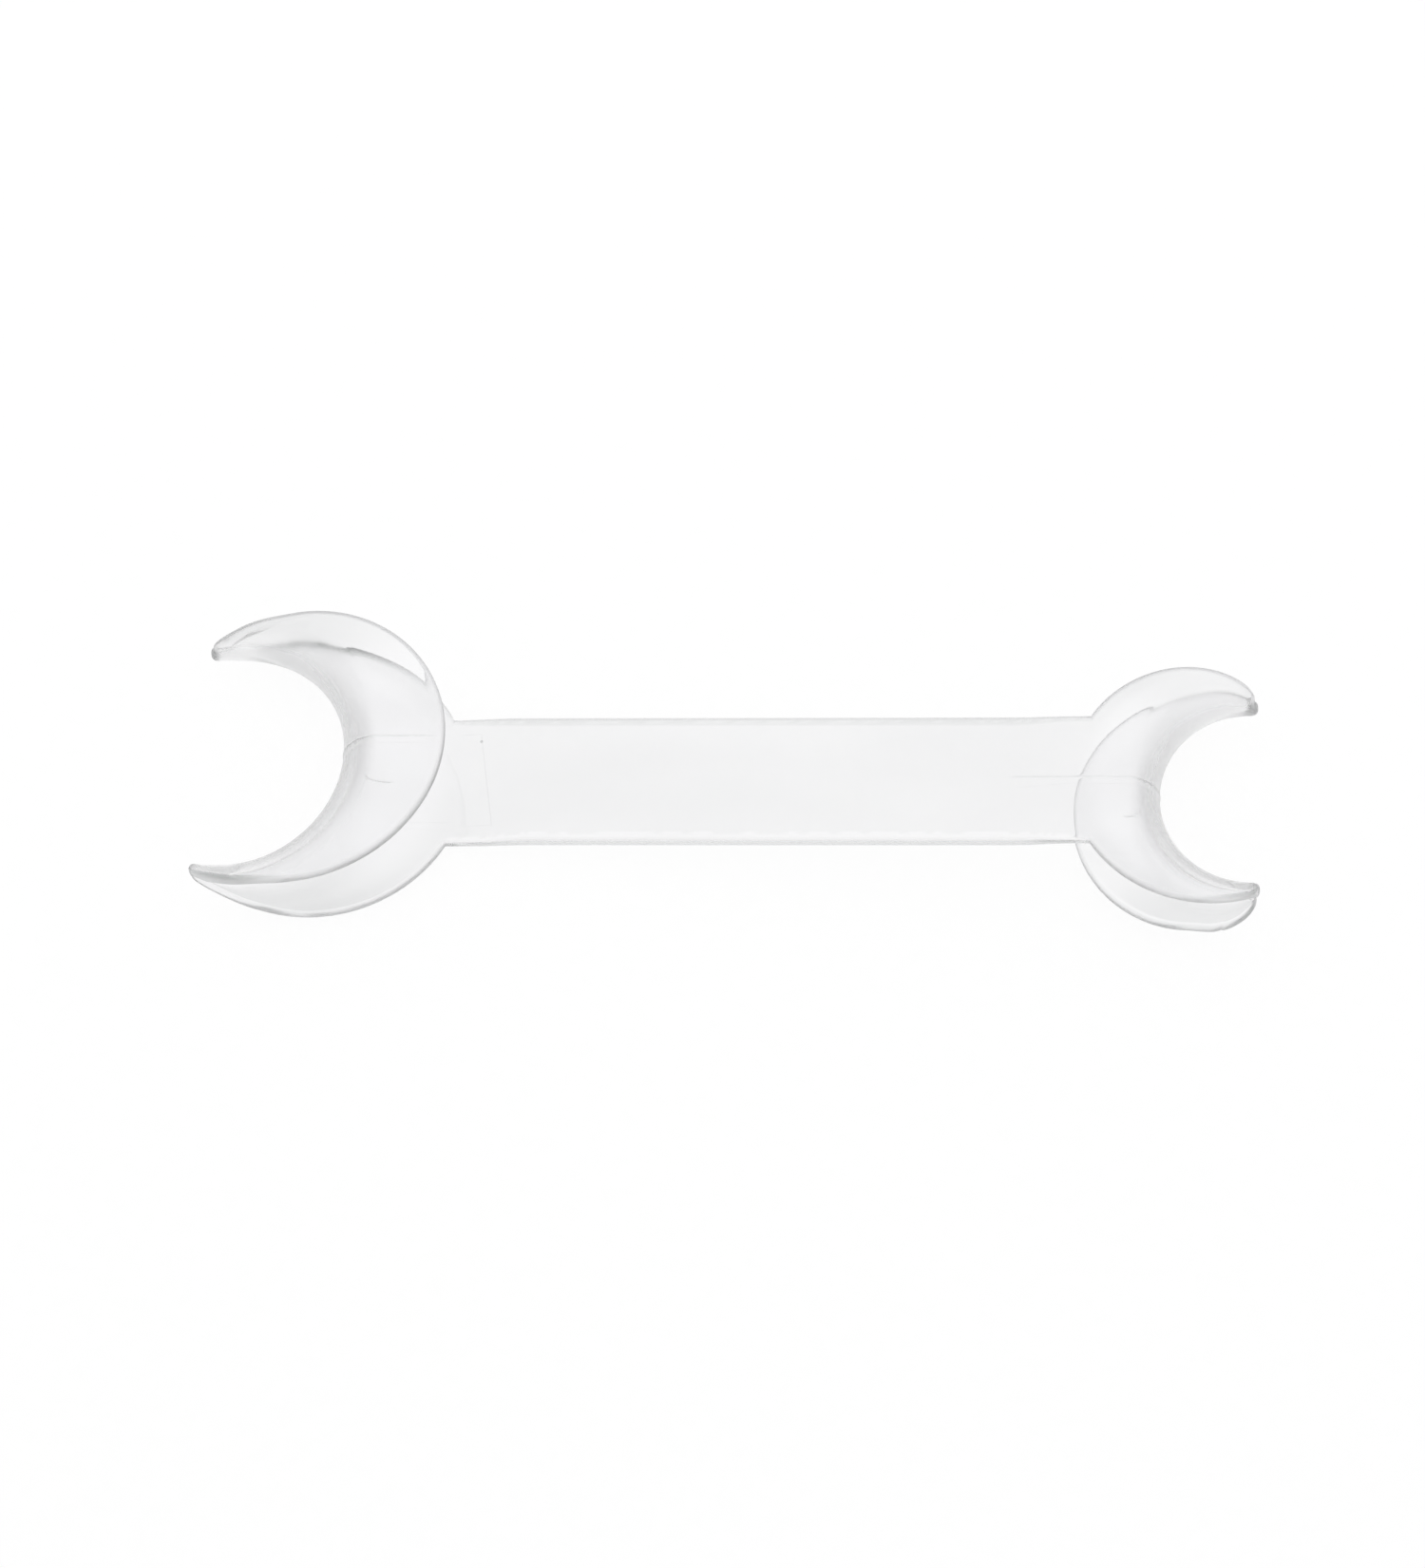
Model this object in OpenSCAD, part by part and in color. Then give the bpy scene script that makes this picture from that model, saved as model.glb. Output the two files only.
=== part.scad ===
// Double-ended cheek retractor: a flat bar with a crescent lip channel at each end, all one
// moulding of clear plastic. The part lies as it does on a table: on the lower flanges of both
// heads, with the bar sloping up to the small head. +X runs along the bar to the small head,
// +Y to the left arms, and +Z is up.

/* [Handle] */
// Width of the flat bar
handle_w = 20.8; // [14:0.1:26]
// Thickness of the flat bar
handle_t = 2.4; // [1.8:0.1:3.6]
// Length of the flat bar on its centre line, between the rims of the two heads
handle_l = 86.6; // [60:0.1:140]

/* [Walls] */
// Wall of the flanges and the saddles
wall = 1.5; // [1:0.1:2]
// Width of the rounded tips, across the wall
tip_t = 2; // [1.6:0.1:3]
// Reach of the rounding that closes each tip
tip_round = 1.1; // [0.6:0.1:2]

/* [Large head] */
// Radius of the throat along the bar
large_throat_x = 15.6; // [13:0.1:22]
// Radius of the throat across the bar
large_throat_y = 18; // [15:0.1:24]
// Angle that each arm wraps round the throat, from the bar to its tip
large_wrap = 104; // [80:0.5:115]
// Depth of the lip channel at the bar, from the throat to the rim
large_depth = 15.3; // [11:0.1:19]
// Height of the head at the bar
large_height = 14; // [11:0.1:18]
// Height of the head at its tips
large_tip_h = 2.2; // [1.8:0.1:6]
// Reach of the saddle's rounded back at the bar
large_saddle = 5.9; // [4:0.1:7]
// Extra depth of the flange that carries the bar
large_root = 1.9; // [0:0.1:3]
// Extra depth of the flanges near the tips, which makes the tips blunt
large_blunt = 1.1; // [0:0.1:3]
// Power of the taper of the flanges towards the tips
large_taper = 1.66; // [0.9:0.02:2]
// Power of the fall in height towards the tips
large_fall = 0.68; // [0.4:0.02:1]

/* [Small head] */
// Radius of the throat along the bar
small_throat_x = 11.7; // [9:0.1:18]
// Radius of the throat across the bar
small_throat_y = 14.4; // [12:0.1:20]
// Angle that each arm wraps round the throat, from the bar to its tip
small_wrap = 96; // [75:0.5:110]
// Depth of the lip channel at the bar, from the throat to the rim
small_depth = 12.6; // [9:0.1:16]
// Height of the head at the bar
small_height = 12.3; // [10:0.1:16]
// Height of the head at its tips
small_tip_h = 2.5; // [1.8:0.1:6]
// Reach of the saddle's rounded back at the bar
small_saddle = 5; // [3.6:0.1:6]
// Extra depth of the flange that carries the bar
small_root = 0.2; // [0:0.1:2]
// Extra depth of the flanges near the tips, which makes the tips blunt
small_blunt = 2.4; // [0:0.1:4]
// Power of the taper of the flanges towards the tips
small_taper = 1.08; // [0.9:0.02:2]
// Power of the fall in height towards the tips
small_fall = 0.52; // [0.4:0.02:1]

/* [Hidden] */

// Half of the narrowest slot that is left of the channel at a tip
slot_min = 0.2;
// Largest share of a flange's depth that the saddle's wall, and the saddle's reach, may take near a tip
wall_share = 0.75;
saddle_share = 0.9;
// Powers of the place along an arm at which the blunt end and the tip set in
blunt_power = 4;
tip_power = 8;
// Power of the blend between two sizes, of which the smaller rules
blend_power = 4;
// Share of an arm, from the bar on, where the flange that carries the bar stays in the bar's plane
root_flat = 0.25;
// Power of the fade of that flange's extra depth along the arm
root_fade = 4.25;
// Stations from the bar's centre line to its corner, and from there to a tip
core_steps = 5;
arm_steps = 14;
// Steps of the saddle's half round, and of the rounding that closes a tip
saddle_steps = 10;
tip_steps = 4;
// Halvings that find a place on a curve, and the furthest station and the steepest slope that they look at
halvings = 40;
corner_limit = 0.7;
tilt_limit = 30;
clear_plastic = [0.86, 0.9, 0.92, 0.45];

// A head is a list of its sizes, read by these places in the list
THROAT_X = 0;
THROAT_Y = 1;
WRAP = 2;
DEPTH = 3;
HEIGHT = 4;
TIP_H = 5;
SADDLE = 6;
ROOT = 7;
BLUNT = 8;
TAPER = 9;
FALL = 10;
LARGE = [
    large_throat_x, large_throat_y, large_wrap, large_depth, large_height, large_tip_h,
    large_saddle, large_root, large_blunt, large_taper, large_fall
];
SMALL = [
    small_throat_x, small_throat_y, small_wrap, small_depth, small_height, small_tip_h,
    small_saddle, small_root, small_blunt, small_taper, small_fall
];

// Along an arm u runs from 0 at the bar's centre line to 1 at the tip, and -1 at the other tip.
// A head is worked out with its throat centre at the origin, the bar towards +X, and the flange
// that carries the bar below, its underside at z = 0.

// Share that is left at u of a size that fades out along the arm
function fade(u, power) = pow(max(1 - u * u, 0), power);

// Place along the arm with the flat root taken off
function past_root(u) = max(abs(u) - root_flat, 0) / (1 - root_flat);

// Half of the head's height: the flange that carries the bar first stays flat
function half_free(h, u) = (h[TIP_H] + (h[HEIGHT] - h[TIP_H]) * fade(u, h[FALL])) / 2;
function half_root(h, u) = half_free(h, past_root(u));

// Depth of a flange from the throat to its rim
function tip_part(u) = pow(u, tip_power);
function blunt_end(h, u) = h[BLUNT] * pow(u, blunt_power) * sqrt(max(1 - tip_part(u), 0));
function depth_free(h, u) = h[DEPTH] * fade(u, h[TAPER]) + blunt_end(h, u) + tip_t * tip_part(u);
function depth_root(h, u) = depth_free(h, u) + h[ROOT] * fade(u, root_fade);

// Reach of the saddle's rounded back, which falls with the height and stays within the flanges
function blend(a, b) = pow(pow(a, -blend_power) + pow(b, -blend_power), -1 / blend_power);
function saddle_reach(h, u) =
    blend(h[SADDLE] * half_free(h, u) / half_free(h, 0), saddle_share * depth_free(h, u));

// Wall of the saddle at its middle, and half of the channel inside the flanges
function saddle_wall(h, u) = min(wall, wall_share * depth_free(h, u));
function inside(half) = max(half - wall, slot_min);

// Throat curve in plan, and its outward normal
function throat(h, u) = [h[THROAT_X] * cos(u * h[WRAP]), h[THROAT_Y] * sin(u * h[WRAP])];
function throat_slope(h, u) = [cos(u * h[WRAP]) / h[THROAT_X], sin(u * h[WRAP]) / h[THROAT_Y]];
function outward(h, u) = throat_slope(h, u) / norm(throat_slope(h, u));
function along(h, u) = [-outward(h, u)[1], outward(h, u)[0]];

// Point of the head at station u, n out from the throat and w above mid height
function place(h, u, n, w) = concat(throat(h, u) + outward(h, u) * n, [h[HEIGHT] / 2 + w]);

// Station where the rim of the flange that carries the bar crosses the bar's side
function rim_y(h, u) = place(h, u, depth_root(h, u), 0)[1];
function corner(h, lo = 0, hi = corner_limit, n = halvings) =
    n == 0 ? lo :
    rim_y(h, (lo + hi) / 2) < handle_w / 2 ? corner(h, (lo + hi) / 2, hi, n - 1) :
    corner(h, lo, (lo + hi) / 2, n - 1);

// Stations from tip to tip, with one at each corner of the bar and closer ones towards the tips
function core(h) = [for (i = [-core_steps:core_steps]) corner(h) * i / core_steps];
function arm(h) = [for (i = [1:arm_steps]) corner(h) + (1 - corner(h)) * sin(90 * i / arm_steps)];
function flipped(list) = [for (i = [len(list) - 1:-1:0]) -list[i]];
function stations(h) = concat(flipped(arm(h)), core(h), arm(h));

// Stations of the left arm, from the mould line on the bar's centre line, and of the right arm
function left_stations(h) = [for (u = stations(h)) if (u >= 0) u];
function right_stations(h) = flipped(left_stations(h));

// Sections of the three walls at a station: two rows of points, outside and inside
function saddle_angles() = [for (i = [-saddle_steps / 2:saddle_steps / 2]) 180 * i / saddle_steps];
function half_at(h, u, a) = a > 0 ? half_free(h, u) : half_root(h, u);
function saddle_point(h, u, a, reach, half) =
    place(h, u, saddle_reach(h, u) - reach * cos(a), half * sin(a));
function saddle_inside(h, u, a) =
    saddle_point(h, u, a, saddle_reach(h, u) - saddle_wall(h, u), inside(half_at(h, u, a)));
function saddle_section(h, u) = [
    [for (a = saddle_angles()) saddle_point(h, u, a, saddle_reach(h, u), half_at(h, u, a))],
    [for (a = saddle_angles()) saddle_inside(h, u, a)]
];
function flange_row(h, u, depth, w) = [place(h, u, saddle_reach(h, u), w), place(h, u, depth, w)];
function root_section(h, u) = [
    flange_row(h, u, depth_root(h, u), -inside(half_root(h, u))),
    flange_row(h, u, depth_root(h, u), -half_root(h, u))
];
function free_section(h, u) = [
    flange_row(h, u, depth_free(h, u), half_free(h, u)),
    flange_row(h, u, depth_free(h, u), inside(half_free(h, u)))
];

// Outline of the whole head at a tip, and the same outline drawn in and moved past the tip
function tip_outline(h, u) = concat(
    [for (a = saddle_angles()) saddle_point(h, u, a, saddle_reach(h, u), half_at(h, u, a))],
    [place(h, u, depth_free(h, u), half_free(h, u)), place(h, u, depth_root(h, u), -half_root(h, u))]
);
function tip_centre(h, u) = place(h, u, depth_free(h, u) / 2, 0);
function tip_shift(h, u, a) = concat(along(h, u) * u * tip_round * sin(a), [0]);
function tip_ring(h, u, a) = [
    for (p = tip_outline(h, u)) tip_centre(h, u) + (p - tip_centre(h, u)) * cos(a) + tip_shift(h, u, a)
];

// Solid between sections of two rows each: row points run the same way, outside first
module loft(sections) {
    n = len(sections[0][0]);
    rings = [for (s = sections) concat(s[0], [for (i = [n - 1:-1:0]) s[1][i]])];
    m = 2 * n;
    last = (len(rings) - 1) * m;
    sides = [
        for (j = [0:len(rings) - 2], i = [0:m - 1])
        let (a = j * m + i, b = j * m + (i + 1) % m)
        each [[a, b, b + m], [a, b + m, a + m]]
    ];
    near = [for (i = [0:n - 2]) each [[i, m - 1 - i, m - 2 - i], [i, m - 2 - i, i + 1]]];
    far = [for (f = near) [last + f[0], last + f[2], last + f[1]]];
    polyhedron([for (r = rings) each r], concat(sides, near, far));
}

// Rounded solid that closes an arm at u = 1 or -1
module tip_bead(h, u) {
    rings = [for (k = [0:tip_steps - 1]) tip_ring(h, u, 90 * k / tip_steps)];
    m = len(rings[0]);
    base = tip_steps * m;
    points = concat(
        [for (r = rings) each r],
        [tip_centre(h, u), tip_centre(h, u) + tip_shift(h, u, 90)]
    );
    sides = [
        for (j = [0:tip_steps - 2], i = [0:m - 1])
        let (a = j * m + i, b = j * m + (i + 1) % m)
        each [[a, b, b + m], [a, b + m, a + m]]
    ];
    fans = [
        for (i = [0:m - 1])
        let (b = (i + 1) % m)
        each [[base, b, i], [base - m + i, base - m + b, base + 1]]
    ];
    faces = concat(sides, fans);
    polyhedron(points, u > 0 ? faces : [for (f = faces) [f[2], f[1], f[0]]]);
}

// Places of the two throat centres on the bar's own frame, which has the bar's underside at z = 0
function rim_reach(h) = h[THROAT_X] + depth_root(h, 0);
large_x = -handle_l / 2 - rim_reach(LARGE);
small_x = handle_l / 2 + rim_reach(SMALL);

// Points of the two heads on the bar's frame: the small head is the same form turned over
function on_large(p) = [large_x + p[0], p[1], p[2]];
function on_small(p) = [small_x - p[0], p[1], handle_t - p[2]];

// Lowest rims, on which the part lies
large_feet = [for (u = stations(LARGE), p = root_section(LARGE, u)[1]) on_large(p)];
small_feet = [for (u = stations(SMALL), p = free_section(SMALL, u)[0]) on_small(p)];
function lowest(points, tilt) = min([for (p = points) p[0] * sin(tilt) + p[2] * cos(tilt)]);

// Slope of the bar at which both heads touch the table
function rest_tilt(lo = 0, hi = tilt_limit, n = halvings) =
    n == 0 ? lo :
    lowest(small_feet, (lo + hi) / 2) < lowest(large_feet, (lo + hi) / 2) ?
    rest_tilt((lo + hi) / 2, hi, n - 1) :
    rest_tilt(lo, (lo + hi) / 2, n - 1);
tilt = rest_tilt();

// Ends of the part along X, from which its middle is found
large_tip = on_large(tip_centre(LARGE, 1) + tip_shift(LARGE, 1, 90));
small_tip = on_small(tip_centre(SMALL, 1) + tip_shift(SMALL, 1, 90));
function level_x(p) = p[0] * cos(tilt) - p[2] * sin(tilt);
middle_x = (level_x(large_tip) + level_x(small_tip)) / 2;

// Moves a solid from the bar's frame to its place on the table
module lying() {
    translate([-middle_x, 0, -lowest(large_feet, tilt)])
        rotate([0, -tilt, 0])
            children();
}

// Moves a head to its end of the bar
module on_large_end() {
    lying() translate([large_x, 0, 0]) children();
}

module on_small_end() {
    lying() translate([small_x, 0, handle_t]) rotate([0, 180, 0]) children();
}

// Plan of a list of points
function flat(points) = [for (p = points) [p[0], p[1]]];

// Flat bar, whose ends follow the rims of the flanges that carry it
module handle_bar() {
    large_end = [for (u = core(LARGE)) on_large(place(LARGE, u, depth_root(LARGE, u), 0))];
    small_end = [for (u = core(SMALL)) on_small(place(SMALL, -u, depth_root(SMALL, u), 0))];
    color(clear_plastic)
        lying()
            linear_extrude(handle_t)
                polygon(concat(flat(large_end), flat(small_end)));
}

// Walls of the large head
module large_saddle_left() {
    color(clear_plastic) on_large_end() loft([for (u = left_stations(LARGE)) saddle_section(LARGE, u)]);
}

module large_saddle_right() {
    color(clear_plastic) on_large_end() loft([for (u = right_stations(LARGE)) saddle_section(LARGE, u)]);
}

module large_lower_flange() {
    color(clear_plastic) on_large_end() loft([for (u = stations(LARGE)) root_section(LARGE, u)]);
}

module large_upper_flange() {
    color(clear_plastic) on_large_end() loft([for (u = stations(LARGE)) free_section(LARGE, u)]);
}

module large_tips() {
    color(clear_plastic) on_large_end() for (u = [-1, 1]) tip_bead(LARGE, u);
}

// Walls of the small head, whose upper flange carries the bar
module small_saddle_left() {
    color(clear_plastic) on_small_end() loft([for (u = left_stations(SMALL)) saddle_section(SMALL, u)]);
}

module small_saddle_right() {
    color(clear_plastic) on_small_end() loft([for (u = right_stations(SMALL)) saddle_section(SMALL, u)]);
}

module small_upper_flange() {
    color(clear_plastic) on_small_end() loft([for (u = stations(SMALL)) root_section(SMALL, u)]);
}

module small_lower_flange() {
    color(clear_plastic) on_small_end() loft([for (u = stations(SMALL)) free_section(SMALL, u)]);
}

module small_tips() {
    color(clear_plastic) on_small_end() for (u = [-1, 1]) tip_bead(SMALL, u);
}

handle_bar();
large_saddle_left();
large_saddle_right();
large_lower_flange();
large_upper_flange();
large_tips();
small_saddle_left();
small_saddle_right();
small_upper_flange();
small_lower_flange();
small_tips();
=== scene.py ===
# %% [markdown]
# A cheek retractor is a small tool that holds the lips away from the teeth. It is one clear plastic
# moulding: a flat bar with a crescent head at each end, and each head is a channel that a lip lies in.
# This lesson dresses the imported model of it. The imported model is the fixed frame, with +X along the bar
# to the small head, +Y to the left arms and +Z up from the table.

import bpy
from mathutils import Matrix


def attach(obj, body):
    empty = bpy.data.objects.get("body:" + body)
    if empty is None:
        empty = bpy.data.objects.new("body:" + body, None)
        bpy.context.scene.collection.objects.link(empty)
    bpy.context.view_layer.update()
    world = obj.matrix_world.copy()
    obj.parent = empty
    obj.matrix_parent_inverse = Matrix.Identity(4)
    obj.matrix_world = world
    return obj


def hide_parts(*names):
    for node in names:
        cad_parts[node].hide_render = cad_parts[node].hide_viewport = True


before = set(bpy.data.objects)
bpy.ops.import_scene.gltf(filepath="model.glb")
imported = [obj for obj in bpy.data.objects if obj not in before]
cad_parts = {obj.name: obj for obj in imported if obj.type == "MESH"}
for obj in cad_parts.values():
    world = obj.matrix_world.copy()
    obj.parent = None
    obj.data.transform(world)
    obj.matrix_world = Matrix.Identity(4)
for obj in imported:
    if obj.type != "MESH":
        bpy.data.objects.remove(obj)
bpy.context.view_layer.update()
MM = 0.001
print("nodes of the frame:", sorted(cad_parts))

# %% [markdown]
# The camera comes first, because it decides how much detail shows. The picture is 1500 by 1650 pixels
# and looks down on the table at about 59 degrees, from well away, so the two heads show nearly the same
# scale. A long lens far off does that; a short lens near by would swell the nearer edge.

# %% Camera
import math
from types import SimpleNamespace

import bmesh
import bpy
import numpy as np
from mathutils import Matrix, Vector

PICTURE = SimpleNamespace(width=1500, height=1650, focal=5760.8)
SENSOR = 36.0
CLIP_NEAR, CLIP_FAR = 0.01, 20.0
LOOK = SimpleNamespace(elevation=59.34, turn=-0.28, roll=-2.54, distance=786.3, aside=(2.5, -0.23))
LOOK_AT = np.array([0.18, 0.0, 5.13])


def spin(degrees):
    """Turn about the third axis by an angle."""
    c, s = math.cos(math.radians(degrees)), math.sin(math.radians(degrees))
    return np.array([[c, -s, 0.0], [s, c, 0.0], [0.0, 0.0, 1.0]])


def camera_axes(look):
    """Right, up and back of a camera that looks down at an elevation and rolls about its line of sight."""
    e = math.radians(look.elevation)
    level = np.array([[1, 0, 0], [0, math.sin(e), math.cos(e)], [0, -math.cos(e), math.sin(e)]])
    return spin(look.roll) @ level @ spin(look.turn)


axes = camera_axes(LOOK)
eye = LOOK_AT + axes.T @ np.array([-LOOK.aside[0], -LOOK.aside[1], LOOK.distance])
camera_data = bpy.data.cameras.new("picture_camera")
camera_data.sensor_width = SENSOR
camera_data.lens = PICTURE.focal / max(PICTURE.width, PICTURE.height) * SENSOR
camera_data.clip_start, camera_data.clip_end = CLIP_NEAR, CLIP_FAR
camera = bpy.data.objects.new("picture_camera", camera_data)
pose = np.eye(4)
pose[:3, :3], pose[:3, 3] = axes.T, eye * MM
camera.matrix_world = Matrix(pose.tolist())
bpy.context.collection.objects.link(camera)
bpy.context.scene.camera = camera
print("camera at", np.round(eye, 1), "mm, lens", round(camera_data.lens, 1), "mm")

# %% [markdown]
# Next come the sizes of the moulding, in millimetres. They are the sizes that the frame was made with,
# so the clear skin lies on the frame's own walls, apart from the tips, where its walls are thicker and
# its flanges swell a little. Both heads are the same form with other numbers. A place along a head is u:
# 0 on the bar's centre line, 1 at the left tip and -1 at the right tip. The form could be drawn by hand,
# but a formula for each size keeps it smooth.

# %% Sizes of the moulding
BAR = SimpleNamespace(width=20.8, thick=2.4, length=86.6)
WALL = 1.5
TIP_WIDTH, TIP_ROUND, TIP_STRETCH = 1.4, 0.6, 2.4
TIP_POWER, BLUNT_POWER = 8, 4
LARGE = SimpleNamespace(
    throat_x=15.6, throat_y=18.0, wrap=104.0, depth=15.3, height=14.0, tip_h=2.2,
    saddle=5.9, root=1.9, blunt=1.1, taper=1.66, fall=0.68, fill_from=0.76, thicker=0.8,
)
SMALL = SimpleNamespace(
    throat_x=11.7, throat_y=14.4, wrap=96.0, depth=12.6, height=12.3, tip_h=2.5,
    saddle=5.0, root=0.2, blunt=2.4, taper=1.08, fall=0.52, fill_from=0.95, thicker=0.2,
)
SADDLE_SHARE, BLEND = 0.9, 4
ROOT_FLAT, ROOT_FADE = 0.25, 4.25
SLOT_HALF, THICK_FROM = 0.2, 0.6


def fade(u, power):
    """One less u squared, raised to a power: 1 at the bar and 0 at a tip."""
    return np.maximum(1 - u * u, 0.0) ** power


def half_free(head, u):
    """Half the head's height: half the tip's height, plus the rest of the height fading out along the arm."""
    return (head.tip_h + (head.height - head.tip_h) * fade(u, head.fall)) / 2


def half_root(head, u):
    """The same on the side that carries the bar, where the first quarter of the arm stays flat."""
    return half_free(head, np.maximum(np.abs(u) - ROOT_FLAT, 0.0) / (1 - ROOT_FLAT))


def depth_free(head, u):
    """Depth of a flange: the full depth fading out, a blunt swelling near the tip, and the tip's own
    width."""
    tip = u**TIP_POWER
    blunt = head.blunt * u**BLUNT_POWER * np.sqrt(np.maximum(1 - tip, 0.0))
    return head.depth * fade(u, head.taper) + blunt + TIP_WIDTH * tip


def depth_root(head, u):
    """Depth of the flange that carries the bar: a little more than the other one near the bar."""
    return depth_free(head, u) + head.root * fade(u, ROOT_FADE)


def saddle_reach(head, u):
    """Reach of the saddle's round back: it falls with the height, and a smooth least keeps it in the
    flange."""
    by_height = head.saddle * half_free(head, u) / half_free(head, 0.0)
    by_depth = SADDLE_SHARE * depth_free(head, u)
    return (by_height**-BLEND + by_depth**-BLEND) ** (-1 / BLEND)


def inside(head, half, u):
    """Half the channel inside the flanges: half the height less the wall, which grows thicker towards
    the tips, with a least slot left there."""
    growth = np.clip((np.abs(u) - THICK_FROM) / (1 - THICK_FROM), 0.0, 1.0)
    return np.maximum(half - WALL * (1 + head.thicker * growth), SLOT_HALF)


def angle(head, u):
    """Angle round the throat: even along the arm, with a small stretch that grows only near the tips."""
    return np.radians(u * (head.wrap + TIP_STRETCH * u**TIP_POWER))


def points_at(x, y, z):
    """Points from their three coordinates, spread to one shape."""
    return np.stack(np.broadcast_arrays(x, y, z), axis=-1)


def place(head, u, n, w):
    """Point of a head: the throat's ellipse at u, n outwards along its normal, and w above mid height."""
    a = angle(head, u)
    nx, ny = np.cos(a) / head.throat_x, np.sin(a) / head.throat_y
    size = np.hypot(nx, ny)
    x = head.throat_x * np.cos(a) + n * nx / size
    y = head.throat_y * np.sin(a) + n * ny / size
    return points_at(x, y, head.height / 2 + w)


channel_height = 2 * inside(LARGE, LARGE.height / 2, 0.0)
print("large channel at the bar:", LARGE.depth, "mm deep,", channel_height, "mm high inside")

# %% [markdown]
# A clear moulding shows every inner face, so it must be one closed skin: two solids pushed into each
# other would show their buried walls. The rims are rounded, because a moulded edge is never quite sharp,
# and it is the round that draws the grey line along each rim. The stations along a head are laid so that
# one falls on each corner of the bar, and each line of the round meets the bar's own round there in a
# mitre. Closer stations follow the fine marks of the mould: the mould line in the middle, the sides of
# the slide's print and the flash on a rim.

# %% Stations along a head
RIM_ROUND = 0.68
ARM_STATIONS, CORE_STATIONS = 60, 20
FINE_STEP, FINE_COUNT = 0.004, 6
SLIDE_SIDE = 0.77
FLASH_SHARES, FLASH_STEP, FLASH_COUNT = (0.543, 0.646), 0.006, 5
CORNER_LIMIT, HALVINGS = 0.7, 50
DIGITS = 6


def steps(step, count):
    """Even steps on both sides of 0."""
    return step * np.arange(-count, count + 1)


def in_order(*values):
    """All values in one rising row, where those that agree to some digits are taken as one."""
    return np.unique(np.round(np.concatenate(values), DIGITS))


fine = steps(FINE_STEP, FINE_COUNT)
core_even = np.linspace(-1, 1, 2 * CORE_STATIONS + 1)
core_share = in_order(core_even, fine, fine + SLIDE_SIDE, fine - SLIDE_SIDE)
even_share = np.sin(np.pi / 2 * np.arange(1, ARM_STATIONS + 1) / ARM_STATIONS)
flash_share = np.array(FLASH_SHARES)[:, None] + steps(FLASH_STEP, FLASH_COUNT)
arm_share = in_order(even_share, flash_share.ravel())
arm_count = len(arm_share)
rows_core = slice(arm_count, arm_count + len(core_share))


def corner_station(head, inset):
    """Station where the bar's rim, drawn in by an inset, meets the bar's side drawn in by as much. It is
    found by halving the way between two stations."""
    low, high = np.zeros_like(inset), np.full_like(inset, CORNER_LIMIT)
    for _ in range(HALVINGS):
        middle = (low + high) / 2
        short = place(head, middle, depth_root(head, middle) - inset, 0.0)[..., 1] < BAR.width / 2 - inset
        low, high = np.where(short, middle, low), np.where(short, high, middle)
    return low


def stations(corner):
    """Rows of u from tip to tip, with a column for each corner station, so that each has its own corner."""
    arm = corner + (1 - corner) * arm_share[:, None]
    return np.vstack([-arm[::-1], core_share[:, None] * corner, arm])


print("stations along a head:", 2 * arm_count + len(core_share))

# %% [markdown]
# The channel's section is one closed line: along the flange that carries the bar, round the saddle, out
# along the free flange, round its rim, and back inside. Carried along the stations it makes the head. It
# could be made of two walls that are joined later, but one closed line needs no joining. A hair-fine
# ridge runs over it where the mould's halves meet. Near each tip the channel fills up, so the end of an
# arm is solid.

# %% Section of the channel
FACE_STEPS, SADDLE_ANGLES, RIM_ANGLES = 11, 33, 6
ROUND_OF_WALL, ROUND_OF_FACE = 0.48, 0.5
RIDGE_HEIGHT, RIDGE_WIDTH, RIDGE_FADE = 0.1, 0.12, 0.2
WALL_SHARE, FILL_TO = 0.75, 0.985

face_share = np.linspace(0, 1, FACE_STEPS + 1)
bend = np.radians(np.linspace(-90, 90, SADDLE_ANGLES))
unbend = bend[::-1]
quarter = np.radians(np.linspace(0, 90, RIM_ANGLES))
# the round of a rim, from one face to the other: how far in from the rim in rounds, and how far across
# in walls and in rounds
rim_in = np.concatenate([1 - np.sin(quarter), 1 - np.sin(quarter[::-1])])
rim_walls = np.repeat([0.0, 1.0], RIM_ANGLES)
rim_rounds = np.concatenate([1 - np.cos(quarter), np.cos(quarter[::-1]) - 1])


def rise(x, start, end):
    """Smooth step from 0 at the start to 1 at the end: 3 t squared less 2 t cubed, where t is the share
    of the way, kept between 0 and 1."""
    t = np.clip((x - start) / (end - start), 0.0, 1.0)
    return t * t * (3 - 2 * t)


def ridge(y):
    """Height of the mould line at a distance y from the middle plane: a bell curve."""
    return RIDGE_HEIGHT * np.exp(-((y / RIDGE_WIDTH) ** 2))


def head_ridge(head, u, n):
    """The same at a place on a head."""
    return ridge(place(head, u, n, 0.0)[..., 1])


def flange(head, u, reach, half, depth):
    """Sizes of a flange: its half height, half channel, wall, depth, the round of its rim, which is less
    where the wall or the face is small, and the edge where that round starts."""
    slot = inside(head, half, u)
    wall = half - slot
    rounding = np.minimum(RIM_ROUND, np.minimum(ROUND_OF_WALL * wall, ROUND_OF_FACE * (depth - reach)))
    return SimpleNamespace(
        half=half, slot=slot, wall=wall, depth=depth, rounding=rounding, edge=depth - rounding)


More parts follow.
